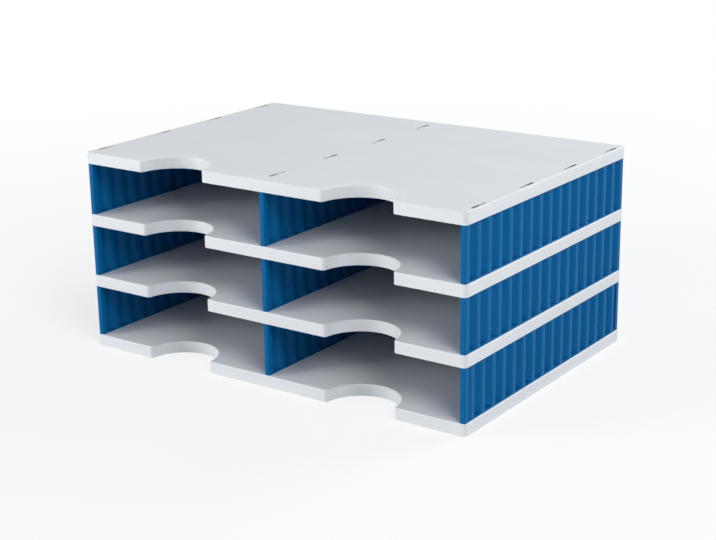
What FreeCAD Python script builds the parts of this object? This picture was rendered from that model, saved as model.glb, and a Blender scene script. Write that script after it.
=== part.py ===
import FreeCAD, Part
import math
import os
import Sketcher

# Document sorting station: four moulded shelves, nine ribbed walls between them and six
# back panels make two columns of three open compartments for C4 and A4 documents.
# Frame: origin under the middle of the base, +Z up, the open fronts face -Y. Millimetres.

# Driving dimensions, one cell each
SIZES = {
    # the whole station
    "width": 485,
    "depth": 331,
    "level_pitch": 70,
    # shelf moulding
    "shelf_height": 13,
    "deck": 2.6,
    "skirt": 2.2,
    "shelf_corner": 5,
    "top_rounding": 1.5,
    "foot_rounding": 0.6,
    "cross_rib_depth": 3,
    "cross_rib_spacing": 66,
    "rib": 2,
    # finger cutouts in the front edge of a shelf
    "cutout_radius": 41,
    "cutout_offset": 119,
    "cutout_mouth": 4,
    # slots for the tabs of the walls: a hole in one half, a shallow recess in the other
    "slot_length": 26,
    "slot_width": 3.4,
    "slot_spacing": 91,
    "recess_width": 2,
    "recess_depth": 1,
    # groove that takes the lower edge of a back panel
    "groove_width": 2.4,
    "groove_depth": 0.8,
    "groove_edge": 2.2,
    # ribbed walls
    "wall_inset": 1.3,
    "wall_thickness": 6.4,
    "sheet": 2,
    "wave_pitch": 20,
    "bend_outside": 4,
    "bend_inside": 2,
    "flange": 1.5,
    "post_rounding": 1.6,
    "tab_length": 12,
    "tab_thickness": 2,
    "tab_gap": 0.5,
    "tab_height": 6,
    "tab_rounding": 0.8,
    # back panels
    "panel_clearance": 0.2,
    "panel_sheet": 2,
    "panel_tongue": 3,
    "panel_rib_pitch": 20,
    "panel_rib_width": 8,
    "panel_rib_height": 1.4,
    "panel_rib_margin": 3,
}
# Counts, which are not lengths
LEVELS = 3
WAVES = 16
SLOTS = 4
CROSS_RIBS = 4
PANEL_RIBS = 11
# The half of each slot, from the front one back, that is a hole: 1 the rear half, -1 the front
HOLE_HALVES = (-1, 1, 1, 1)

doc = FreeCAD.newDocument("document_sorting_station")
sheet = doc.addObject("Spreadsheet::Sheet", "Sizes")
for row, (alias, value) in enumerate(SIZES.items(), start=1):
    sheet.set("A%d" % row, alias)
    sheet.set("B%d" % row, str(value))
    sheet.setAlias("B%d" % row, alias)
doc.recompute()

# Places that several pieces share, as expressions on the sheet
WALL_CENTRE = "(Sizes.width / 2 - Sizes.wall_inset - Sizes.wall_thickness / 2)"
WALL_HALF_DEPTH = "(Sizes.depth / 2 - Sizes.wall_inset)"
WALL_HALF_THICKNESS = "(Sizes.wall_thickness / 2)"
CLEAR_HEIGHT = "(Sizes.level_pitch - Sizes.shelf_height)"
DECK_UNDERSIDE = "(Sizes.shelf_height - Sizes.deck)"
INNER_HALF_WIDTH = "(Sizes.width / 2 - Sizes.skirt)"
INNER_HALF_DEPTH = "(Sizes.depth / 2 - Sizes.skirt)"
GROOVE_BACK = "(Sizes.depth / 2 - Sizes.groove_edge)"
GROOVE_FRONT = "(Sizes.depth / 2 - Sizes.groove_edge - Sizes.groove_width)"
COLUMN_SIDE = "(Sizes.width / 2 - Sizes.wall_inset - Sizes.wall_thickness)"


def origin_feature(body, role):
    """The plane or axis of the body's own origin that has this role."""
    for feature in body.Origin.OriginFeatures:
        if feature.Role == role:
            return feature
    raise ValueError(role)


def new_body(label):
    body = doc.addObject("PartDesign::Body", label)
    body.Label = label
    return body


def new_sketch(body, name, role="XY_Plane", lift="0"):
    """An empty sketch on one of the body's planes, lifted off it along the plane's normal."""
    sketch = body.newObject("Sketcher::SketchObject", name)
    sketch.AttachmentSupport = (origin_feature(body, role), "")
    sketch.MapMode = "FlatFace"
    sketch.setExpression(".AttachmentOffset.Base.z", lift)
    return sketch


def bind(sketch, text, kind, *places):
    """Adds a dimension to the sketch, with the value of an expression and tied to it."""
    value = float(sketch.evalExpression(text))
    index = sketch.addConstraint(Sketcher.Constraint(kind, *places, value))
    sketch.setExpression("Constraints[%d]" % index, text)


def place_point(sketch, geometry, end, x_text, y_text):
    """Fixes one end of a line or arc at a place measured from the sketch's origin."""
    bind(sketch, x_text, "DistanceX", -1, 1, geometry, end)
    bind(sketch, y_text, "DistanceY", -1, 1, geometry, end)


def draw_outline(sketch, corners, arcs=(), arc_radius=None):
    """A closed outline whose corners are pairs of expressions. The sides that arcs names by
    number run left to right as arcs of one radius round a centre on their -Y side."""
    places = [
        FreeCAD.Vector(sketch.evalExpression(x_text), sketch.evalExpression(y_text), 0)
        for x_text, y_text in corners
    ]
    first = sketch.GeometryCount
    count = len(corners)
    ends = {}
    for k in range(count):
        start, end = places[k], places[(k + 1) % count]
        if k in arcs:
            radius = sketch.evalExpression(arc_radius)
            rise = math.sqrt(radius**2 - ((end - start).Length / 2) ** 2)
            middle = (start + end) / 2 - FreeCAD.Vector(0, rise, 0)
            circle = Part.Circle(middle, FreeCAD.Vector(0, 0, 1), radius)
            lean = math.asin(rise / radius)
            sketch.addGeometry(Part.ArcOfCircle(circle, lean, math.pi - lean), False)
            # An arc runs anticlockwise, so it starts where this side ends
            ends[k] = (2, 1)
        else:
            sketch.addGeometry(Part.LineSegment(start, end), False)
            ends[k] = (1, 2)
    for k in range(count):
        following = (k + 1) % count
        sketch.addConstraint(
            Sketcher.Constraint("Coincident", first + k, ends[k][1], first + following, ends[following][0])
        )
    for k, (x_text, y_text) in enumerate(corners):
        place_point(sketch, first + k, ends[k][0], x_text, y_text)
    for k in arcs:
        bind(sketch, arc_radius, "Radius", first + k)


def draw_rectangle(sketch, left, right, front, back):
    draw_outline(sketch, [(left, front), (right, front), (right, back), (left, back)])


def draw_circle(sketch, x_text, y_text, radius_text):
    middle = FreeCAD.Vector(sketch.evalExpression(x_text), sketch.evalExpression(y_text), 0)
    circle = Part.Circle(middle, FreeCAD.Vector(0, 0, 1), sketch.evalExpression(radius_text))
    geometry = sketch.addGeometry(circle, False)
    place_point(sketch, geometry, 3, x_text, y_text)
    bind(sketch, radius_text, "Radius", geometry)


def pad(body, sketch, length):
    feature = body.newObject("PartDesign::Pad", sketch.Name + "_pad")
    feature.Profile = sketch
    feature.setExpression("Length", length)
    doc.recompute()
    return feature


def pocket(body, sketch, length, upwards):
    """Cuts along the sketch's normal, or against it, and makes sure that something was cut."""
    before = body.Shape.Volume
    feature = body.newObject("PartDesign::Pocket", sketch.Name + "_pocket")
    feature.Profile = sketch
    feature.setExpression("Length", length)
    feature.Reversed = upwards
    doc.recompute()
    if feature.Shape.Volume > before - 1:
        raise ValueError("nothing cut by " + sketch.Name)
    return feature


def fillet(body, edges, radius, name):
    """Rounds the edges of the body's last feature for which the test holds."""
    last = body.Tip
    chosen = ["Edge%d" % (k + 1) for k, edge in enumerate(last.Shape.Edges) if edges(edge)]
    feature = body.newObject("PartDesign::Fillet", name)
    feature.Base = (last, chosen)
    feature.setExpression("Radius", radius)
    doc.recompute()
    return feature


def repeat(body, features, axis_role, count, spacing, name, whole=False):
    """Repeats features, or the whole body so far, along one axis of its origin."""
    pattern = body.newObject("PartDesign::LinearPattern", name)
    pattern.TransformMode = "Whole shape" if whole else "Features"
    if not whole:
        pattern.Originals = features
    pattern.Direction = (origin_feature(body, axis_role), [""])
    pattern.Mode = "Spacing"
    pattern.setExpression("Offset", spacing)
    pattern.Occurrences = count
    body.Tip = pattern
    doc.recompute()
    return pattern


def is_upright(edge):
    """True for a straight vertical edge."""
    box = edge.BoundBox
    return box.XLength < 0.01 and box.YLength < 0.01


def lies_at(edge, height):
    box = edge.BoundBox
    return abs(box.ZMin - height) < 0.01 and abs(box.ZMax - height) < 0.01


def make_shelf(label, level, grooved):
    """One shelf: a flat deck with a skirt all round it, which follows the finger cutouts,
    and ribs below. The walls of the level underneath bear on the ribs in pairs. A shelf that
    carries back panels has grooves for them."""
    body = new_body(label)
    block = new_sketch(body, label + "_block")
    draw_rectangle(block, "-Sizes.width / 2", "Sizes.width / 2", "-Sizes.depth / 2", "Sizes.depth / 2")
    pad(body, block, "Sizes.shelf_height")
    fillet(body, is_upright, "Sizes.shelf_corner", label + "_corners")
    add_cutouts(body, label)
    top = SIZES["shelf_height"]
    fillet(body, lambda edge: lies_at(edge, top), "Sizes.top_rounding", label + "_top")
    fillet(body, lambda edge: lies_at(edge, 0), "Sizes.foot_rounding", label + "_foot")
    hollow_out(body, label)
    add_ribs(body, label)
    cut_slots(body, label)
    if grooved:
        cut_grooves(body, label)
    body.setExpression(".Placement.Base.z", "Sizes.level_pitch * %d" % level)
    return body


def add_cutouts(body, label):
    """Two round finger cutouts in the front edge, with rounded mouths."""
    round_cut = new_sketch(body, label + "_cutout")
    for side in ("-", ""):
        draw_circle(round_cut, side + "Sizes.cutout_offset", "-Sizes.depth / 2", "Sizes.cutout_radius")
    pocket(body, round_cut, "Sizes.shelf_height", True)
    half_depth = SIZES["depth"] / 2

    def at_mouth(edge):
        middle = edge.CenterOfMass
        from_centre = abs(abs(middle.x) - SIZES["cutout_offset"])
        at_front = abs(middle.y + half_depth) < 0.01
        return is_upright(edge) and at_front and abs(from_centre - SIZES["cutout_radius"]) < 1

    fillet(body, at_mouth, "Sizes.cutout_mouth", label + "_mouths")


def hollow_out(body, label):
    """Takes out the underside up to the deck. The skirt that is left follows the cutouts."""
    front = "-" + INNER_HALF_DEPTH
    reach = "(Sizes.cutout_radius + Sizes.skirt)"
    half_span = "sqrt(%s^2 - Sizes.skirt^2)" % reach
    hollow = new_sketch(body, label + "_hollow")
    corners = [("-" + INNER_HALF_WIDTH, INNER_HALF_DEPTH), ("-" + INNER_HALF_WIDTH, front)]
    for side in ("-", ""):
        for way in ("-", "+"):
            corners.append(("%sSizes.cutout_offset %s %s" % (side, way, half_span), front))
    corners += [(INNER_HALF_WIDTH, front), (INNER_HALF_WIDTH, INNER_HALF_DEPTH)]
    draw_outline(hollow, corners, arcs=(2, 4), arc_radius=reach)
    pocket(body, hollow, DECK_UNDERSIDE, True)


def add_ribs(body, label):
    """Ribs in pairs under the wall lines, one along each back panel and a few cross ribs."""
    bearing = new_sketch(body, label + "_bearing_ribs")
    inner_edge = "Sizes.wall_thickness / 2"
    for centre, inward in (("-" + WALL_CENTRE, "+"), (WALL_CENTRE, "-")):
        face = "%s %s %s" % (centre, inward, inner_edge)
        draw_rectangle(
            bearing, face, face + " %s (-Sizes.rib)" % inward, "-" + INNER_HALF_DEPTH, INNER_HALF_DEPTH
        )
    for side in ("-", ""):
        face = side + "Sizes.wall_thickness / 2"
        inside = side + "(Sizes.wall_thickness / 2 - Sizes.rib)"
        draw_rectangle(bearing, face, inside, "-" + INNER_HALF_DEPTH, INNER_HALF_DEPTH)
    pad(body, bearing, "(%s + Sizes.deck / 2)" % DECK_UNDERSIDE)

    channel = new_sketch(body, label + "_channel_ribs")
    for side in ("-", ""):
        draw_rectangle(
            channel,
            side + WALL_HALF_THICKNESS,
            side + COLUMN_SIDE,
            GROOVE_FRONT + " - Sizes.rib",
            GROOVE_FRONT,
        )
    pad(body, channel, "(%s + Sizes.deck / 2)" % DECK_UNDERSIDE)

    # The cross ribs are shallow and only stiffen the deck between the wall lines
    cross = new_sketch(body, label + "_cross_rib", lift=DECK_UNDERSIDE + " - Sizes.cross_rib_depth")
    middle = "-Sizes.cross_rib_spacing"
    for side in ("-", ""):
        draw_rectangle(
            cross,
            side + WALL_HALF_THICKNESS,
            side + COLUMN_SIDE,
            middle + " - Sizes.rib / 2",
            middle + " + Sizes.rib / 2",
        )
    first = pad(body, cross, "Sizes.cross_rib_depth + Sizes.deck / 2")
    repeat(body, [first], "Y_Axis", CROSS_RIBS, "Sizes.cross_rib_spacing", label + "_cross_ribs")


def slot_half(number, half, near="0", far="Sizes.slot_length / 2"):
    """The ends, as a pair of expressions, of one half of a slot, or of a stretch in it."""
    middle = "(Sizes.slot_spacing * %g)" % (number - (SLOTS - 1) / 2)
    way = "+" if half > 0 else "-"
    return "%s %s %s" % (middle, way, near), "%s %s %s" % (middle, way, far)


def cut_slots(body, label):
    """Four slots on each of the three wall lines: first the holes, then the recesses."""
    top = "Sizes.shelf_height"
    cuts = (
        ("hole", 1, "Sizes.slot_width", "0", top),
        ("recess", -1, "Sizes.recess_width", "Sizes.shelf_height - Sizes.recess_depth", "Sizes.recess_depth"),
    )
    for name, way, width, lift, height in cuts:
        outline = new_sketch(body, "%s_slot_%s" % (label, name), lift=lift)
        for centre in ("-" + WALL_CENTRE, "0", WALL_CENTRE):
            for number, half in enumerate(HOLE_HALVES):
                near, far = slot_half(number, half * way)
                draw_rectangle(
                    outline, "%s - %s / 2" % (centre, width), "%s + %s / 2" % (centre, width), near, far
                )
        pocket(body, outline, height, True)


def cut_grooves(body, label):
    """A shallow groove across each column, in which a back panel stands."""
    grooves = new_sketch(body, label + "_groove", lift="Sizes.shelf_height - Sizes.groove_depth")
    for side in ("-", ""):
        draw_rectangle(grooves, side + WALL_HALF_THICKNESS, side + COLUMN_SIDE, GROOVE_FRONT, GROOVE_BACK)
    pocket(body, grooves, "Sizes.groove_depth", True)


def wave_corners():
    """One wave of the ribbed sheet, from the middle of a ridge to the middle of the next."""
    swing = "(Sizes.wall_thickness - Sizes.sheet) / 2"
    # The flanks slope at 45 degrees, so they are as long as they are high
    flank = "(Sizes.wall_thickness - Sizes.sheet)"
    half_ridge = "(Sizes.wave_pitch / 2 - %s) / 2" % flank
    # A sheet of even thickness has its corners moved along by this much on either face
    shift = "Sizes.sheet / 2 * tan(22.5)"
    outer, inner = [], []
    for corners, way, face in ((outer, "+", "+"), (inner, "-", "-")):
        high = "%s %s Sizes.sheet / 2" % (swing, face)
        low = "-%s %s Sizes.sheet / 2" % (swing, face)
        ridge = "(%s %s %s)" % (half_ridge, way, shift)
        corners += [
            (high, "0"),
            (high, ridge),
            (low, "%s + %s" % (ridge, flank)),
            (low, "Sizes.wave_pitch - %s - %s" % (ridge, flank)),
            (high, "Sizes.wave_pitch - " + ridge),
            (high, "Sizes.wave_pitch"),
        ]
    start = " - Sizes.wave_pitch * %d" % (WAVES // 2)
    return [(x_text, y_text + start) for x_text, y_text in outer + inner[::-1]]


def bend_test(outside):
    """Picks the upright edges at the bends of the first wave, on their outside or inside."""
    swing = (SIZES["wall_thickness"] - SIZES["sheet"]) / 2
    start = -SIZES["wave_pitch"] * WAVES / 2

    def chosen(edge):
        along = edge.CenterOfMass.y - start
        at_bend = 0.1 < along < SIZES["wave_pitch"] - 0.1
        is_outside = abs(edge.CenterOfMass.x) > swing
        return is_upright(edge) and at_bend and is_outside == outside

    return chosen


def make_wall(label, level, centre, turned):
    """One wall: a ribbed sheet between a foot and a head flange, a square post at either end
    and four tabs above and below. A turned wall shows its other face to the right."""
    body = new_body(label)
    wave = new_sketch(body, label + "_wave")
    draw_outline(wave, wave_corners())
    pad(body, wave, CLEAR_HEIGHT)
    fillet(body, bend_test(True), "Sizes.bend_outside", label + "_outer_bends")
    fillet(body, bend_test(False), "Sizes.bend_inside", label + "_inner_bends")
    repeat(body, None, "Y_Axis", WAVES, "Sizes.wave_pitch", label + "_ribbing", whole=True)

    posts = new_sketch(body, label + "_posts")
    for side in ("-", ""):
        draw_rectangle(
            posts,
            "-" + WALL_HALF_THICKNESS,
            WALL_HALF_THICKNESS,
            side + WALL_HALF_DEPTH,
            side + "(%s - Sizes.wall_thickness)" % WALL_HALF_DEPTH,
        )
    pad(body, posts, CLEAR_HEIGHT)
    for name, lift in (("foot", "0"), ("head", CLEAR_HEIGHT + " - Sizes.flange")):
        flange = new_sketch(body, "%s_%s_flange" % (label, name), lift=lift)
        draw_rectangle(
            flange, "-" + WALL_HALF_THICKNESS, WALL_HALF_THICKNESS, "-" + WALL_HALF_DEPTH, WALL_HALF_DEPTH
        )
        pad(body, flange, "Sizes.flange")
    half_depth = SIZES["depth"] / 2 - SIZES["wall_inset"]

    def at_end(edge):
        return is_upright(edge) and abs(abs(edge.CenterOfMass.y) - half_depth) < 0.01

    fillet(body, at_end, "Sizes.post_rounding", label + "_posts_rounded")
    add_tabs(body, label)
    body.setExpression(".Placement.Base.x", centre)
    body.setExpression(".Placement.Base.z", "Sizes.level_pitch * %d + Sizes.shelf_height" % level)
    if turned:
        body.setExpression(".Placement.Rotation.Angle", "180")
    return body


def add_tabs(body, label):
    """Tabs on the wall's head and foot, at the first and last slots. Two walls share a slot's
    hole: the foot tab of the upper one ends just above the head tab of the lower one."""
    for name, lift in (("head", CLEAR_HEIGHT), ("foot", "-Sizes.tab_height")):
        tabs = new_sketch(body, "%s_%s_tabs" % (label, name), lift=lift)
        for number in (0, SLOTS - 1):
            near, far = slot_half(
                number, HOLE_HALVES[number], "Sizes.tab_gap", "(Sizes.tab_gap + Sizes.tab_length)"
            )
            draw_rectangle(tabs, "-Sizes.tab_thickness / 2", "Sizes.tab_thickness / 2", near, far)
        pad(body, tabs, "Sizes.tab_height")
    head = SIZES["level_pitch"] - SIZES["shelf_height"]
    tips = (head + SIZES["tab_height"], -SIZES["tab_height"])

    def at_tip(edge):
        return any(lies_at(edge, height) for height in tips)

    fillet(body, at_tip, "Sizes.tab_rounding", label + "_tab_tips")


def make_back_panel(label, level, side):
    """One back panel: a thin sheet with upright ribs on its rear face. Its lower edge stands in
    the groove of a shelf and its upper edge reaches into the channel under the next one."""
    body = new_body(label)
    column_width = "(Sizes.width / 2 - Sizes.wall_inset - 1.5 * Sizes.wall_thickness)"
    half_width = "(%s / 2 - Sizes.panel_clearance)" % column_width
    height = "(%s + Sizes.groove_depth + Sizes.panel_tongue)" % CLEAR_HEIGHT
    middle = "((Sizes.groove_width - Sizes.panel_sheet) / 2)"
    face = "(%s + %s)" % (GROOVE_FRONT, middle)
    back = "(%s + Sizes.panel_sheet)" % face
    panel = new_sketch(body, label + "_sheet")
    draw_rectangle(panel, "-" + half_width, half_width, face, back)
    pad(body, panel, height)

    rib = new_sketch(body, label + "_rib", lift="Sizes.groove_depth + Sizes.panel_rib_margin")
    start = "-Sizes.panel_rib_pitch * %d" % (PANEL_RIBS // 2)
    foot = "Sizes.panel_rib_width / 2"
    crest = "(Sizes.panel_rib_width / 2 - Sizes.panel_rib_height)"
    out = back + " + Sizes.panel_rib_height"
    draw_outline(
        rib,
        [
            (start + " - " + foot, back),
            (start + " + " + foot, back),
            (start + " + " + crest, out),
            (start + " - " + crest, out),
        ],
    )
    first = pad(body, rib, CLEAR_HEIGHT + " - 2 * Sizes.panel_rib_margin")
    repeat(body, [first], "X_Axis", PANEL_RIBS, "Sizes.panel_rib_pitch", label + "_ribs")
    offset = "(%s / 2 + Sizes.wall_thickness / 4)" % COLUMN_SIDE
    body.setExpression(".Placement.Base.x", side + offset)
    lift = "Sizes.level_pitch * %d + Sizes.shelf_height - Sizes.groove_depth" % level
    body.setExpression(".Placement.Base.z", lift)
    return body


def make_station():
    pieces = []
    for level, label in enumerate(("bottom_plate", "lower_shelf", "upper_shelf", "top_plate")):
        pieces.append(make_shelf(label, level, grooved=level < LEVELS))
    lines = (("left", "-" + WALL_CENTRE), ("centre", "0"), ("right", WALL_CENTRE))
    for level, height in enumerate(("lower", "middle", "upper")):
        for side, centre in lines:
            # The lower wall on the right was put in the other way round
            turned = side == "right" and height == "lower"
            pieces.append(make_wall("%s_wall_%s" % (side, height), level, centre, turned))
        for side, sign in (("left", "-"), ("right", "")):
            pieces.append(make_back_panel("%s_back_%s" % (side, height), level, sign))
    return pieces


def check(pieces):
    """Stops before anything is written if an object failed or a piece isn't one valid solid."""
    for thing in doc.Objects:
        if "Invalid" in thing.State or "Error" in thing.State:
            raise ValueError("%s failed: %s" % (thing.Label, thing.State))
    for piece in pieces:
        shape = piece.Shape
        if shape.isNull() or not shape.isValid() or len(shape.Solids) != 1:
            raise ValueError("bad shape: " + piece.Label)


def write(pieces):
    os.makedirs("parts", exist_ok=True)
    for piece in pieces:
        piece.Shape.exportStep(os.path.join("parts", piece.Label + ".step"))
        box = piece.Shape.optimalBoundingBox(False)
        print("%-20s %6.1f cm3" % (piece.Label, piece.Shape.Volume / 1000), end="")
        for low, high in ((box.XMin, box.XMax), (box.YMin, box.YMax), (box.ZMin, box.ZMax)):
            print("%9.1f to %6.1f" % (low, high), end="")
        print()


station = make_station()
doc.recompute()
check(station)
write(station)
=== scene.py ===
"""The looks of a document sorting station: light grey moulded plates on blue ribbed walls.

The frame holds every piece at its real size and place. This add-on gives each piece its
moulded plastic finish and sets the floor, the lights and the camera.
"""

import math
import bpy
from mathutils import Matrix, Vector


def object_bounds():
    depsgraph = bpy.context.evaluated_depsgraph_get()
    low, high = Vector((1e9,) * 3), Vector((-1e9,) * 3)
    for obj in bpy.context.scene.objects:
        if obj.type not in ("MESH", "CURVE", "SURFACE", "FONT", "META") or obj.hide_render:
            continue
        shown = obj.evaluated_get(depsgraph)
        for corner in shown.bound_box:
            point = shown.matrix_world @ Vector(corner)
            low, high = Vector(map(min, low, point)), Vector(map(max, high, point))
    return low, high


bl_info = {
    "name": "Document Sorting Station",
    "version": (1, 0, 0),
    "blender": (4, 5, 0),
    "location": "3D View > Sidebar > Station",
    "description": "Finishes the plates, walls and back panels of a document sorting station",
    "category": "Object",
}

import bpy
import bmesh
from bpy.props import FloatProperty, FloatVectorProperty, PointerProperty
from mathutils import Matrix, Vector

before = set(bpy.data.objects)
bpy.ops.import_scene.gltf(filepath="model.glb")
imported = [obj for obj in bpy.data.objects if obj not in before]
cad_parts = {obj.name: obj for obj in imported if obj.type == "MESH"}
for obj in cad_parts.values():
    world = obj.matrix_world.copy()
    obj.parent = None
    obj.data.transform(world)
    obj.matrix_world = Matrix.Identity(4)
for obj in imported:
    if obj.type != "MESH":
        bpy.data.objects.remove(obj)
CAD_BOX = [list(corner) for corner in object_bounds()]

MM = 0.001
PLATES = [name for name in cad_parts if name.endswith(("_plate", "_shelf"))]
WALLS = [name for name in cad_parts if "_wall_" in name]
BACKS = [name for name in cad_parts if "_back_" in name]

# Places on the pieces that their finishes follow. An offset is from the station's middle line.
FRONT = CAD_BOX[0][1]
CUTOUT_OFFSET = 119 * MM
CUTOUT_RADIUS = 41 * MM
WALL_OFFSET = 238 * MM
WALL_HALF = 3.2 * MM
SIDE_RIB = 235.8 * MM
CROSS_RIB_SPACING = 66 * MM
FIRST_CROSS_RIB = -66 * MM
LEVEL_PITCH = 70 * MM
PLATE_HEIGHT = 13 * MM
SLOT_SPACING = 91 * MM
SLOT_HALF_LENGTH = 13.1 * MM
SLOT_HALF_WIDTH = 1.8 * MM

# Drifts of tone in the grey, wider across than they are deep. A swing is how far the roughness
# moves from one tone to the other.
FLOW_WIDTH = 90 * MM
DRIFT_SHAPE = (1, 2.5, 2.5)
DRIFT_DETAIL = 3
DRIFT_DISTORTION = 0.6
DRIFT_SWING = 0.1

# Upright streaks in the blue
STREAK_WIDTH = 14 * MM
STREAK_SHAPE = (1, 1, 0.15)
STREAK_DETAIL = 3
STREAK_SWING = 0.12

# Rubs from what slides in and out. Real ones are hairlines, and these are wide enough to show.
# A gloss is what a mark takes off the roughness, and the paleness is the most that a rub
# pales the blue.
RUB_WIDTH = 0.9 * MM
RUB_DETAIL = 4
RUB_RAGGEDNESS = 0.7
PLATE_RUB_SHAPE = (1, 0.02, 1)
PLATE_RUB_FROM, PLATE_RUB_AT = 0.6, 0.76
RUB_GLOSS = 0.1
WALL_RUB_SHAPE = (1, 0.04, 1)
WALL_RUB_FROM, WALL_RUB_AT = 0.5, 0.75
RUB_PALENESS = 0.12
RIDGE_FADE = 0.5 * MM
RIDGE_SLACK = 0.1 * MM

# The polish round each cutout, and the dips over the ribs
POLISH_REACH = 14 * MM
POLISH_GLOSS = 0.14
SINK_REACH = 3 * MM

# Painted shade in the slots, a darker grey where their recesses fall into shade: it starts and
# is full so far under the top, and covers this share
SHADE_FROM, SHADE_AT = 0.05 * MM, 0.5 * MM
SHADE_COVER = 0.9

# The spark-eroded grain
GRAIN_DEPTH = 0.02 * MM
GRAIN_DETAIL = 2
POLYSTYRENE_IOR = 1.59

# The stage
STATION_MIDDLE = (Vector(CAD_BOX[0]) + Vector(CAD_BOX[1])) / 2
FLOOR_RADIUS = 14
FLOOR_SIDES = 96
PAPER_ROUGHNESS = 0.5
# The floor lies this much under the station, so that the two don't share a face
FLOOR_GAP = 0.1 * MM
# Beyond the lamps' reach the floor turns to plain white, between these distances
WHITE_FROM, WHITE_AT = 0.45, 1.6
LAMP_DISTANCE = 2.8
LAMP_SIZE = 1.2
# Where each lamp stands: degrees round to the right of the front, and degrees up
LAMP_PLACES = {"low": (-42, 9), "high": (-60, 60), "side": (60, 35), "rear": (150, 35)}
SKY_TINT = (0.78, 0.91, 1)
# How far the camera stands off the line to the station's middle, in its own picture
AIM_RIGHT, AIM_UP = 1.91 * MM, -25.11 * MM


def linear(code):
    """A colour written as an sRGB hex code, as Blender's linear values."""
    shares = [int(code[k : k + 2], 16) / 255 for k in (1, 3, 5)]
    return [s / 12.92 if s <= 0.04045 else ((s + 0.055) / 1.055) ** 2.4 for s in shares]


class PlateLook(bpy.types.PropertyGroup):
    colour: FloatVectorProperty(
        name="Colour", description="Body colour of the plates",
        subtype="COLOR", min=0, max=1, default=linear("#dfe2e6"),
    )
    tint: FloatVectorProperty(
        name="Tint", description="Slightly warmer colour that the body colour drifts to",
        subtype="COLOR", min=0, max=1, default=linear("#dadcdf"),
    )
    roughness: FloatProperty(
        name="Roughness", description="Satin of the grained mould",
        subtype="FACTOR", min=0, max=1, default=0.55,
    )
    specular: FloatProperty(
        name="Specular", description="Strength of the surface's reflection",
        subtype="FACTOR", min=0, max=1, default=0.3,
    )
    # A real grain is about 0.2 mm wide, and it is drawn coarser so that it shows
    grain: FloatProperty(
        name="Grain", description="Width of one grain of the spark-eroded surface",
        subtype="DISTANCE", unit="LENGTH", default=1.1 * MM,
    )
    # Painted shade: this darker grey stands in for the shade in the slots' recesses
    painted_shade: FloatVectorProperty(
        name="Slot_shade", description="Colour of the dust in the slots",
        subtype="COLOR", min=0, max=1, default=linear("#6f7275"),
    )
    sink: FloatProperty(
        name="Sink marks", description="Depth of the dips over the ribs underneath",
        subtype="DISTANCE", unit="LENGTH", default=0.02 * MM,
    )


class WallLook(bpy.types.PropertyGroup):
    colour: FloatVectorProperty(
        name="Colour", description="Body colour of the walls and back panels",
        subtype="COLOR", min=0, max=1, default=linear("#00639c"),
    )
    shade: FloatVectorProperty(
        name="Shade", description="Deeper colour in the streaks where the melt flowed",
        subtype="COLOR", min=0, max=1, default=linear("#005e96"),
    )
    roughness: FloatProperty(
        name="Roughness", description="Satin of the walls",
        subtype="FACTOR", min=0, max=1, default=0.36,
    )
    rubbed: FloatVectorProperty(
        name="Rubbed", description="Paler colour of the rubs on the ridges",
        subtype="COLOR", min=0, max=1, default=linear("#3f83b5"),
    )
    specular: FloatProperty(
        name="Specular", description="Strength of the surface's reflection",
        subtype="FACTOR", min=0, max=1, default=0.06,
    )
    # As coarse as the plates' grain
    grain: FloatProperty(
        name="Grain", description="Width of one grain of the spark-eroded surface",
        subtype="DISTANCE", unit="LENGTH", default=1.1 * MM,
    )


class StageLook(bpy.types.PropertyGroup):
    floor_colour: FloatVectorProperty(
        name="Floor", description="Colour of the floor",
        subtype="COLOR", min=0, max=1, default=linear("#f4f4f4"),
    )
    floor_glow: FloatProperty(
        name="Floor white", description="How far the floor is lifted to white for the camera",
        subtype="FACTOR", min=0, max=1, default=0.72,
    )
    sky: FloatProperty(
        name="Sky", description="Strength of the light from all around", min=0, default=0.16
    )
    low: FloatProperty(
        name="Low light", description="Power of the lamp low in front",
        subtype="POWER", unit="POWER", default=46,
    )
    high: FloatProperty(
        name="High light", description="Power of the lamp high at the left",
        subtype="POWER", unit="POWER", default=10,
    )
    side: FloatProperty(
        name="Side light", description="Power of the lamp at the right",
        subtype="POWER", unit="POWER", default=36,
    )
    rear: FloatProperty(
        name="Rear light", description="Power of the lamp behind, at the right",
        subtype="POWER", unit="POWER", default=42,
    )
    azimuth: FloatProperty(
        name="Azimuth", description="How far the camera stands round to the right",
        subtype="ANGLE", unit="ROTATION", default=math.radians(35.41),
    )
    elevation: FloatProperty(
        name="Elevation", description="How far the camera looks down",
        subtype="ANGLE", unit="ROTATION", default=math.radians(17.07),
    )
    roll: FloatProperty(
        name="Roll", description="Turn of the camera about its line of sight",
        subtype="ANGLE", unit="ROTATION", default=math.radians(-0.88),
    )
    distance: FloatProperty(
        name="Distance", description="From the camera to the station's middle",
        subtype="DISTANCE", unit="LENGTH", default=1.7,
    )
    lens: FloatProperty(
        name="Lens", description="Focal length",
        subtype="DISTANCE_CAMERA", unit="CAMERA", default=77.19,
    )


def add_node(tree, kind, settings=(), inputs=()):
    """Adds a node, sets its options, and fills or links its inputs by name or number."""
    node = tree.nodes.new(kind)
    for name, value in dict(settings).items():
        setattr(node, name, value)
    for name, value in dict(inputs).items():
        if isinstance(value, bpy.types.NodeSocket):
            tree.links.new(value, node.inputs[name])
        else:
            node.inputs[name].default_value = value
    return node


def new_material(name):
    """An empty node material and the output that its surface goes to."""
    material = bpy.data.materials.new(name)
    material.use_nodes = True
    tree = material.node_tree
    tree.nodes.clear()
    return material, tree, add_node(tree, "ShaderNodeOutputMaterial")


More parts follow.
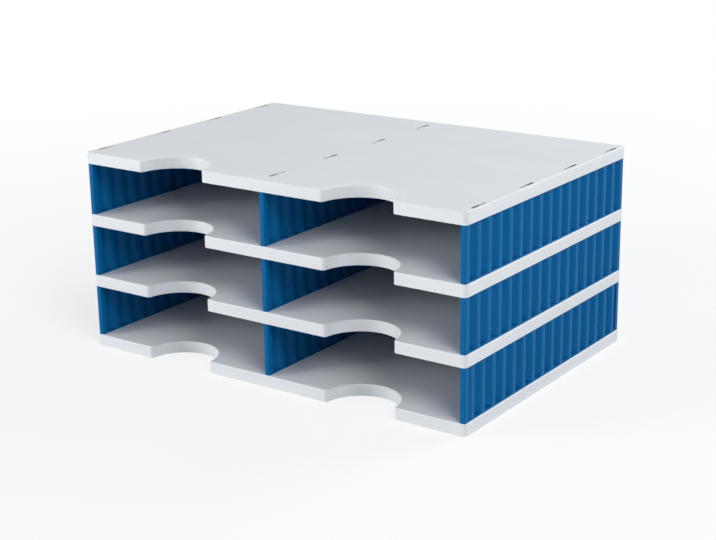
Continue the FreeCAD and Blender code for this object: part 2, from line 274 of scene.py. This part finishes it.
def station_place(tree):
    """A point's place on the station, how far it is from the middle line, and its Y and Z."""
    place = add_node(tree, "ShaderNodeTexCoord").outputs["Object"]
    parts = add_node(tree, "ShaderNodeSeparateXYZ", inputs={0: place}).outputs
    across = add_node(tree, "ShaderNodeMath", {"operation": "ABSOLUTE"}, {0: parts["X"]})
    return place, across.outputs[0], parts["Y"], parts["Z"]


def to_line(tree, across, offset):
    """How far a point is from the nearest of three lines: the middle one, and one that lies
    the offset out on each side."""
    beyond = add_node(tree, "ShaderNodeMath", {"operation": "SUBTRACT"}, {0: across, 1: offset})
    to_side = add_node(
        tree, "ShaderNodeMath", {"operation": "ABSOLUTE"}, {0: beyond.outputs[0]}
    ).outputs[0]
    return add_node(
        tree, "ShaderNodeMath", {"operation": "MINIMUM"}, {0: to_side, 1: across}
    ).outputs[0]


def sliding_rubs(tree, place, shape, start, full, most):
    """Rubs that run front to back, the way that things slide in and out. They start and are
    at their most at two levels of the noise, so a lower start gives more of them."""
    rub_place = add_node(tree, "ShaderNodeMapping", inputs={"Vector": place, "Scale": shape})
    noise = add_node(
        tree, "ShaderNodeTexNoise",
        inputs={"Vector": rub_place.outputs[0], "Scale": 1 / RUB_WIDTH, "Detail": RUB_DETAIL,
                "Roughness": RUB_RAGGEDNESS},
    ).outputs["Fac"]
    return add_node(
        tree, "ShaderNodeMapRange", {"interpolation_type": "SMOOTHSTEP"},
        {"Value": noise, "From Min": start, "From Max": full, "To Min": 0, "To Max": most},
    ).outputs[0]


def shade_in_slots(tree, across, along, up):
    """Painted shade on the sides and shallow floors of the plates' slots, which follow the wall
    lines: a darker grey that stands in for the shade in their recesses.
    """
    to_wall = to_line(tree, across, WALL_OFFSET)
    on_line = add_node(
        tree, "ShaderNodeMath", {"operation": "LESS_THAN"}, {0: to_wall, 1: SLOT_HALF_WIDTH}
    ).outputs[0]
    from_slot = add_node(
        tree, "ShaderNodeMath", {"operation": "SUBTRACT"}, {0: along, 1: SLOT_SPACING / 2}
    ).outputs[0]
    to_slot = add_node(
        tree, "ShaderNodeMath", {"operation": "PINGPONG"}, {0: from_slot, 1: SLOT_SPACING / 2}
    ).outputs[0]
    in_slot = add_node(
        tree, "ShaderNodeMath", {"operation": "LESS_THAN"}, {0: to_slot, 1: SLOT_HALF_LENGTH}
    ).outputs[0]
    from_top = add_node(
        tree, "ShaderNodeMath", {"operation": "SUBTRACT"}, {0: up, 1: PLATE_HEIGHT}
    ).outputs[0]
    below_top = add_node(
        tree, "ShaderNodeMath", {"operation": "PINGPONG"}, {0: from_top, 1: LEVEL_PITCH / 2}
    ).outputs[0]
    painted_shade = add_node(
        tree, "ShaderNodeMapRange", {"interpolation_type": "SMOOTHSTEP"},
        {"Value": below_top, "From Min": SHADE_FROM, "From Max": SHADE_AT,
         "To Min": 0, "To Max": SHADE_COVER},
    ).outputs[0]
    for where in (on_line, in_slot):
        painted_shade = add_node(
            tree, "ShaderNodeMath", {"operation": "MULTIPLY"}, {0: painted_shade, 1: where}
        ).outputs[0]
    return painted_shade


def cutout_polish(tree, across, along):
    """The polish that fingers give the edge of each round cutout."""
    from_middle = add_node(
        tree, "ShaderNodeMath", {"operation": "SUBTRACT"}, {0: across, 1: CUTOUT_OFFSET}
    ).outputs[0]
    from_front = add_node(
        tree, "ShaderNodeMath", {"operation": "SUBTRACT"}, {0: along, 1: FRONT}
    ).outputs[0]
    to_cutout = add_node(
        tree, "ShaderNodeCombineXYZ", inputs={0: from_middle, 1: from_front}
    ).outputs[0]
    reach = add_node(
        tree, "ShaderNodeVectorMath", {"operation": "LENGTH"}, {0: to_cutout}
    ).outputs["Value"]
    return add_node(
        tree, "ShaderNodeMapRange", {"interpolation_type": "SMOOTHSTEP"},
        {"Value": reach, "From Min": CUTOUT_RADIUS, "From Max": CUTOUT_RADIUS + POLISH_REACH,
         "To Min": 1, "To Max": 0},
    ).outputs[0]


def rib_dips(tree, look, across, along):
    """The deck sinks a little over each rib below it: at the wall lines, and at the cross ribs,
    of which there is none near the front edge."""
    to_lines = to_line(tree, across, SIDE_RIB)
    to_cross = add_node(
        tree, "ShaderNodeMath", {"operation": "PINGPONG"}, {0: along, 1: CROSS_RIB_SPACING / 2}
    ).outputs[0]
    near_front = add_node(
        tree, "ShaderNodeMath", {"operation": "LESS_THAN"},
        {0: along, 1: FIRST_CROSS_RIB - CROSS_RIB_SPACING / 2},
    ).outputs[0]
    to_cross = add_node(
        tree, "ShaderNodeMath", {"operation": "ADD"}, {0: to_cross, 1: near_front}
    ).outputs[0]
    to_rib = add_node(
        tree, "ShaderNodeMath", {"operation": "MINIMUM"}, {0: to_lines, 1: to_cross}
    ).outputs[0]
    level = add_node(
        tree, "ShaderNodeMapRange", {"interpolation_type": "SMOOTHSTEP"},
        {"Value": to_rib, "From Min": 0, "From Max": SINK_REACH, "To Min": 0, "To Max": 1},
    ).outputs[0]
    return add_node(
        tree, "ShaderNodeBump", inputs={"Strength": 1, "Distance": look.sink, "Height": level}
    ).outputs[0]


def ridge_wear(tree, place, across):
    """Rubs on the walls' ridges. A ridge is where the surface lies nearly as far from its
    wall's middle as it can. The back panels lie further off than that, and have none."""
    proud = to_line(tree, across, WALL_OFFSET)
    ridge = add_node(
        tree, "ShaderNodeMapRange", {"interpolation_type": "SMOOTHSTEP"},
        {"Value": proud, "From Min": WALL_HALF - RIDGE_FADE, "From Max": WALL_HALF,
         "To Min": 0, "To Max": 1},
    ).outputs[0]
    on_wall = add_node(
        tree, "ShaderNodeMath", {"operation": "LESS_THAN"}, {0: proud, 1: WALL_HALF + RIDGE_SLACK}
    ).outputs[0]
    worn = sliding_rubs(tree, place, WALL_RUB_SHAPE, WALL_RUB_FROM, WALL_RUB_AT, RUB_PALENESS)
    for where in (ridge, on_wall):
        worn = add_node(
            tree, "ShaderNodeMath", {"operation": "MULTIPLY"}, {0: worn, 1: where}
        ).outputs[0]
    return worn


def grained_polystyrene(tree, output, look, place, colour, roughness, dips=None):
    """The plastic that both finishes share, with its fine grain over any dips."""
    grain = add_node(
        tree, "ShaderNodeTexNoise",
        inputs={"Vector": place, "Scale": 1 / look.grain, "Detail": GRAIN_DETAIL},
    ).outputs["Fac"]
    surface = add_node(
        tree, "ShaderNodeBump", inputs={"Strength": 1, "Distance": GRAIN_DEPTH, "Height": grain}
    )
    if dips is not None:
        tree.links.new(dips, surface.inputs["Normal"])
    plastic = add_node(
        tree, "ShaderNodeBsdfPrincipled",
        inputs={"Base Color": colour, "Roughness": roughness, "IOR": POLYSTYRENE_IOR,
                "Specular IOR Level": look.specular, "Normal": surface.outputs[0]},
    )
    tree.links.new(plastic.outputs[0], output.inputs["Surface"])


def grey_polystyrene(look):
    """Polystyrene moulded against a spark-eroded grain: an even satin grey that spreads its
    highlights wide. Close up it has drifts of tone where the melt flowed, shallow dips over
    the ribs underneath, rubs where things slide in and a polish where fingers reach in. The
    slots get painted shade: a darker grey in their recesses, where shade falls."""
    material, tree, output = new_material("grained_grey_polystyrene")
    place, across, along, up = station_place(tree)

    drift_place = add_node(
        tree, "ShaderNodeMapping", inputs={"Vector": place, "Scale": DRIFT_SHAPE}
    )
    drift = add_node(
        tree, "ShaderNodeTexNoise",
        inputs={"Vector": drift_place.outputs[0], "Scale": 1 / FLOW_WIDTH,
                "Detail": DRIFT_DETAIL, "Distortion": DRIFT_DISTORTION},
    ).outputs["Fac"]
    colour = add_node(
        tree, "ShaderNodeMix", {"data_type": "RGBA"},
        {0: drift, 6: (*look.colour, 1), 7: (*look.tint, 1)},
    ).outputs[2]
    # Painted shade: the slots' recesses are darkened in the colour, where shade falls
    colour = add_node(
        tree, "ShaderNodeMix", {"data_type": "RGBA"},
        {0: shade_in_slots(tree, across, along, up), 6: colour, 7: (*look.painted_shade, 1)},
    ).outputs[2]

    # The drifts vary the roughness, and rubs and polish lower it
    rubs = sliding_rubs(tree, place, PLATE_RUB_SHAPE, PLATE_RUB_FROM, PLATE_RUB_AT, 1)
    polish = cutout_polish(tree, across, along)
    roughness = look.roughness - DRIFT_SWING / 2
    for mark, change in ((drift, DRIFT_SWING), (rubs, -RUB_GLOSS), (polish, -POLISH_GLOSS)):
        roughness = add_node(
            tree, "ShaderNodeMath", {"operation": "MULTIPLY_ADD"},
            {0: mark, 1: change, 2: roughness},
        ).outputs[0]

    dips = rib_dips(tree, look, across, along)
    grained_polystyrene(tree, output, look, place, colour, roughness, dips)
    return material


def blue_polystyrene(look):
    """The same plastic dyed through in a deep blue, from a mould with the same grain: a dull
    sheen on a saturated colour. Close up it has upright streaks where the melt ran between the
    posts, and paler rubs on the ridges."""
    material, tree, output = new_material("grained_blue_polystyrene")
    place, across = station_place(tree)[:2]

    streak_place = add_node(
        tree, "ShaderNodeMapping", inputs={"Vector": place, "Scale": STREAK_SHAPE}
    )
    streaks = add_node(
        tree, "ShaderNodeTexNoise",
        inputs={"Vector": streak_place.outputs[0], "Scale": 1 / STREAK_WIDTH,
                "Detail": STREAK_DETAIL},
    ).outputs["Fac"]
    body = add_node(
        tree, "ShaderNodeMix", {"data_type": "RGBA"},
        {0: streaks, 6: (*look.colour, 1), 7: (*look.shade, 1)},
    ).outputs[2]
    worn = ridge_wear(tree, place, across)
    colour = add_node(
        tree, "ShaderNodeMix", {"data_type": "RGBA"}, {0: worn, 6: body, 7: (*look.rubbed, 1)}
    ).outputs[2]

    # A rub is rougher by as much as it is paler
    evened = add_node(
        tree, "ShaderNodeMath", {"operation": "MULTIPLY_ADD"},
        {0: streaks, 1: STREAK_SWING, 2: look.roughness - STREAK_SWING / 2},
    ).outputs[0]
    roughness = add_node(
        tree, "ShaderNodeMath", {"operation": "ADD"}, {0: evened, 1: worn}
    ).outputs[0]
    grained_polystyrene(tree, output, look, place, colour, roughness)
    return material


def finish(names, material):
    """Gives pieces of the frame one material all over."""
    for name in names:
        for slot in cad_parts[name].material_slots:
            slot.material = material


class STATION_OT_finish_plates(bpy.types.Operator):
    """Give the four plates their grained light grey plastic"""

    bl_idname = "station.finish_plates"
    bl_label = "Finish Plates"

    def execute(self, context):
        finish(PLATES, grey_polystyrene(context.scene.station_plates))
        return {"FINISHED"}


class STATION_OT_finish_walls(bpy.types.Operator):
    """Give the nine ribbed walls their blue plastic"""

    bl_idname = "station.finish_walls"
    bl_label = "Finish Walls"

    def execute(self, context):
        finish(WALLS, blue_polystyrene(context.scene.station_walls))
        return {"FINISHED"}


class STATION_OT_finish_backs(bpy.types.Operator):
    """Give the six back panels the blue plastic of the walls"""

    bl_idname = "station.finish_backs"
    bl_label = "Finish Backs"

    def execute(self, context):
        finish(BACKS, blue_polystyrene(context.scene.station_walls))
        return {"FINISHED"}


def seen_directly(tree):
    """One for rays from the camera, from a gloss and through glass, and zero for the rest."""
    path = add_node(tree, "ShaderNodeLightPath").outputs
    gloss = add_node(
        tree, "ShaderNodeMath", {"operation": "MAXIMUM"},
        {0: path["Is Camera Ray"], 1: path["Is Glossy Ray"]},
    )
    return add_node(
        tree, "ShaderNodeMath", {"operation": "MAXIMUM"},
        {0: gloss.outputs[0], 1: path["Is Transmission Ray"]},
    ).outputs[0]


def white_paper(look):
    """Matt white paper: it shows no reflection of the station, only its soft shadow. The
    camera and reflections see it lifted towards white, and the rest of the light meets its
    plain colour."""
    material, tree, output = new_material("matt_white_paper")
    paper = add_node(
        tree, "ShaderNodeBsdfDiffuse",
        inputs={"Color": (*look.floor_colour, 1), "Roughness": PAPER_ROUGHNESS},
    )
    white = add_node(tree, "ShaderNodeEmission", inputs={"Color": (1, 1, 1, 1), "Strength": 1})
    place = add_node(tree, "ShaderNodeTexCoord").outputs["Object"]
    away = add_node(
        tree, "ShaderNodeVectorMath", {"operation": "LENGTH"}, {0: place}
    ).outputs["Value"]
    whiteness = add_node(
        tree, "ShaderNodeMapRange", {"interpolation_type": "SMOOTHSTEP"},
        {"Value": away, "From Min": WHITE_FROM, "From Max": WHITE_AT,
         "To Min": look.floor_glow, "To Max": 1},
    ).outputs[0]
    share = add_node(
        tree, "ShaderNodeMath", {"operation": "MULTIPLY"}, {0: seen_directly(tree), 1: whiteness}
    )
    lifted = add_node(
        tree, "ShaderNodeMixShader",
        inputs={0: share.outputs[0], 1: paper.outputs[0], 2: white.outputs[0]},
    )
    tree.links.new(lifted.outputs[0], output.inputs["Surface"])
    return material


def add_floor(look):
    """A wide round floor just under the station."""
    mesh = bpy.data.meshes.new("floor")
    shape = bmesh.new()
    bmesh.ops.create_circle(shape, cap_ends=True, segments=FLOOR_SIDES, radius=FLOOR_RADIUS)
    bmesh.ops.translate(shape, verts=shape.verts, vec=(0, 0, -FLOOR_GAP))
    shape.to_mesh(mesh)
    shape.free()
    floor = bpy.data.objects.new("floor", mesh)
    bpy.context.scene.collection.objects.link(floor)
    mesh.materials.append(white_paper(look))


def add_sky(look):
    """Even, slightly cool light from all around. The camera sees it as plain white."""
    world = bpy.data.worlds.new("studio")
    world.use_nodes = True
    tree = world.node_tree
    tree.nodes.clear()
    seen = seen_directly(tree)
    strength = add_node(
        tree, "ShaderNodeMapRange",
        inputs={"Value": seen, "From Min": 0, "From Max": 1, "To Min": look.sky, "To Max": 1},
    )
    colour = add_node(
        tree, "ShaderNodeMix", {"data_type": "RGBA"}, {0: seen, 6: (*SKY_TINT, 1), 7: (1, 1, 1, 1)}
    ).outputs[2]
    sky = add_node(
        tree, "ShaderNodeBackground", inputs={"Color": colour, "Strength": strength.outputs[0]}
    )
    output = add_node(tree, "ShaderNodeOutputWorld")
    tree.links.new(sky.outputs[0], output.inputs["Surface"])
    bpy.context.scene.world = world


def outward(azimuth, elevation):
    """The direction that lies so far round to the right of the front, and so far up."""
    return Vector((
        math.sin(azimuth) * math.cos(elevation),
        -math.cos(azimuth) * math.cos(elevation),
        math.sin(elevation),
    ))


def add_lamp(name, power):
    """A square soft lamp that faces the station."""
    lamp = bpy.data.lights.new(name + "_lamp", "AREA")
    lamp.shape = "SQUARE"
    lamp.size = LAMP_SIZE
    lamp.energy = power
    holder = bpy.data.objects.new(name + "_lamp", lamp)
    away = outward(*(math.radians(turn) for turn in LAMP_PLACES[name]))
    holder.location = STATION_MIDDLE + away * LAMP_DISTANCE
    holder.rotation_euler = (-away).to_track_quat("-Z", "Y").to_euler()
    bpy.context.scene.collection.objects.link(holder)


def add_camera(look):
    """The camera at the photograph's angle, with its slight roll and its framing."""
    away = outward(look.azimuth, look.elevation)
    level = Vector((0, 0, 1)).cross(away).normalized()
    upward = away.cross(level)
    rolled = Matrix.Rotation(look.roll, 3, away)
    right, up = rolled @ level, rolled @ upward
    camera = bpy.data.cameras.new("camera")
    camera.lens = look.lens
    holder = bpy.data.objects.new("camera", camera)
    pose = Matrix((right, up, away)).transposed().to_4x4()
    pose.translation = STATION_MIDDLE + away * look.distance + right * AIM_RIGHT + up * AIM_UP
    holder.matrix_world = pose
    bpy.context.scene.collection.objects.link(holder)
    bpy.context.scene.camera = holder


class STATION_OT_set_stage(bpy.types.Operator):
    """Set the white floor, the soft studio light and the camera"""

    bl_idname = "station.set_stage"
    bl_label = "Set Stage"

    def execute(self, context):
        look = context.scene.station_stage
        add_floor(look)
        add_sky(look)
        for name in LAMP_PLACES:
            add_lamp(name, getattr(look, name))
        add_camera(look)
        context.scene.view_settings.view_transform = "Standard"
        return {"FINISHED"}


class STATION_PT_panel(bpy.types.Panel):
    """Looks of the station and the steps that apply them"""

    bl_label = "Sorting Station"
    bl_space_type = "VIEW_3D"
    bl_region_type = "UI"
    bl_category = "Station"

    def draw(self, context):
        steps = {
            "station_plates": (STATION_OT_finish_plates,),
            "station_walls": (STATION_OT_finish_walls, STATION_OT_finish_backs),
            "station_stage": (STATION_OT_set_stage,),
        }
        for group, operators in steps.items():
            box = self.layout.box()
            look = getattr(context.scene, group)
            for name in type(look).__annotations__:
                box.prop(look, name)
            for operator in operators:
                box.operator(operator.bl_idname)


CLASSES = (
    PlateLook,
    WallLook,
    StageLook,
    STATION_OT_finish_plates,
    STATION_OT_finish_walls,
    STATION_OT_finish_backs,
    STATION_OT_set_stage,
    STATION_PT_panel,
)


def register():
    for entry in CLASSES:
        bpy.utils.register_class(entry)
    bpy.types.Scene.station_plates = PointerProperty(type=PlateLook)
    bpy.types.Scene.station_walls = PointerProperty(type=WallLook)
    bpy.types.Scene.station_stage = PointerProperty(type=StageLook)


def unregister():
    del bpy.types.Scene.station_plates
    del bpy.types.Scene.station_walls
    del bpy.types.Scene.station_stage
    for entry in reversed(CLASSES):
        bpy.utils.unregister_class(entry)


def main():
    register()
    bpy.ops.station.finish_plates()
    bpy.ops.station.finish_walls()
    bpy.ops.station.finish_backs()
    bpy.ops.station.set_stage()


if __name__ == "__main__":
    main()
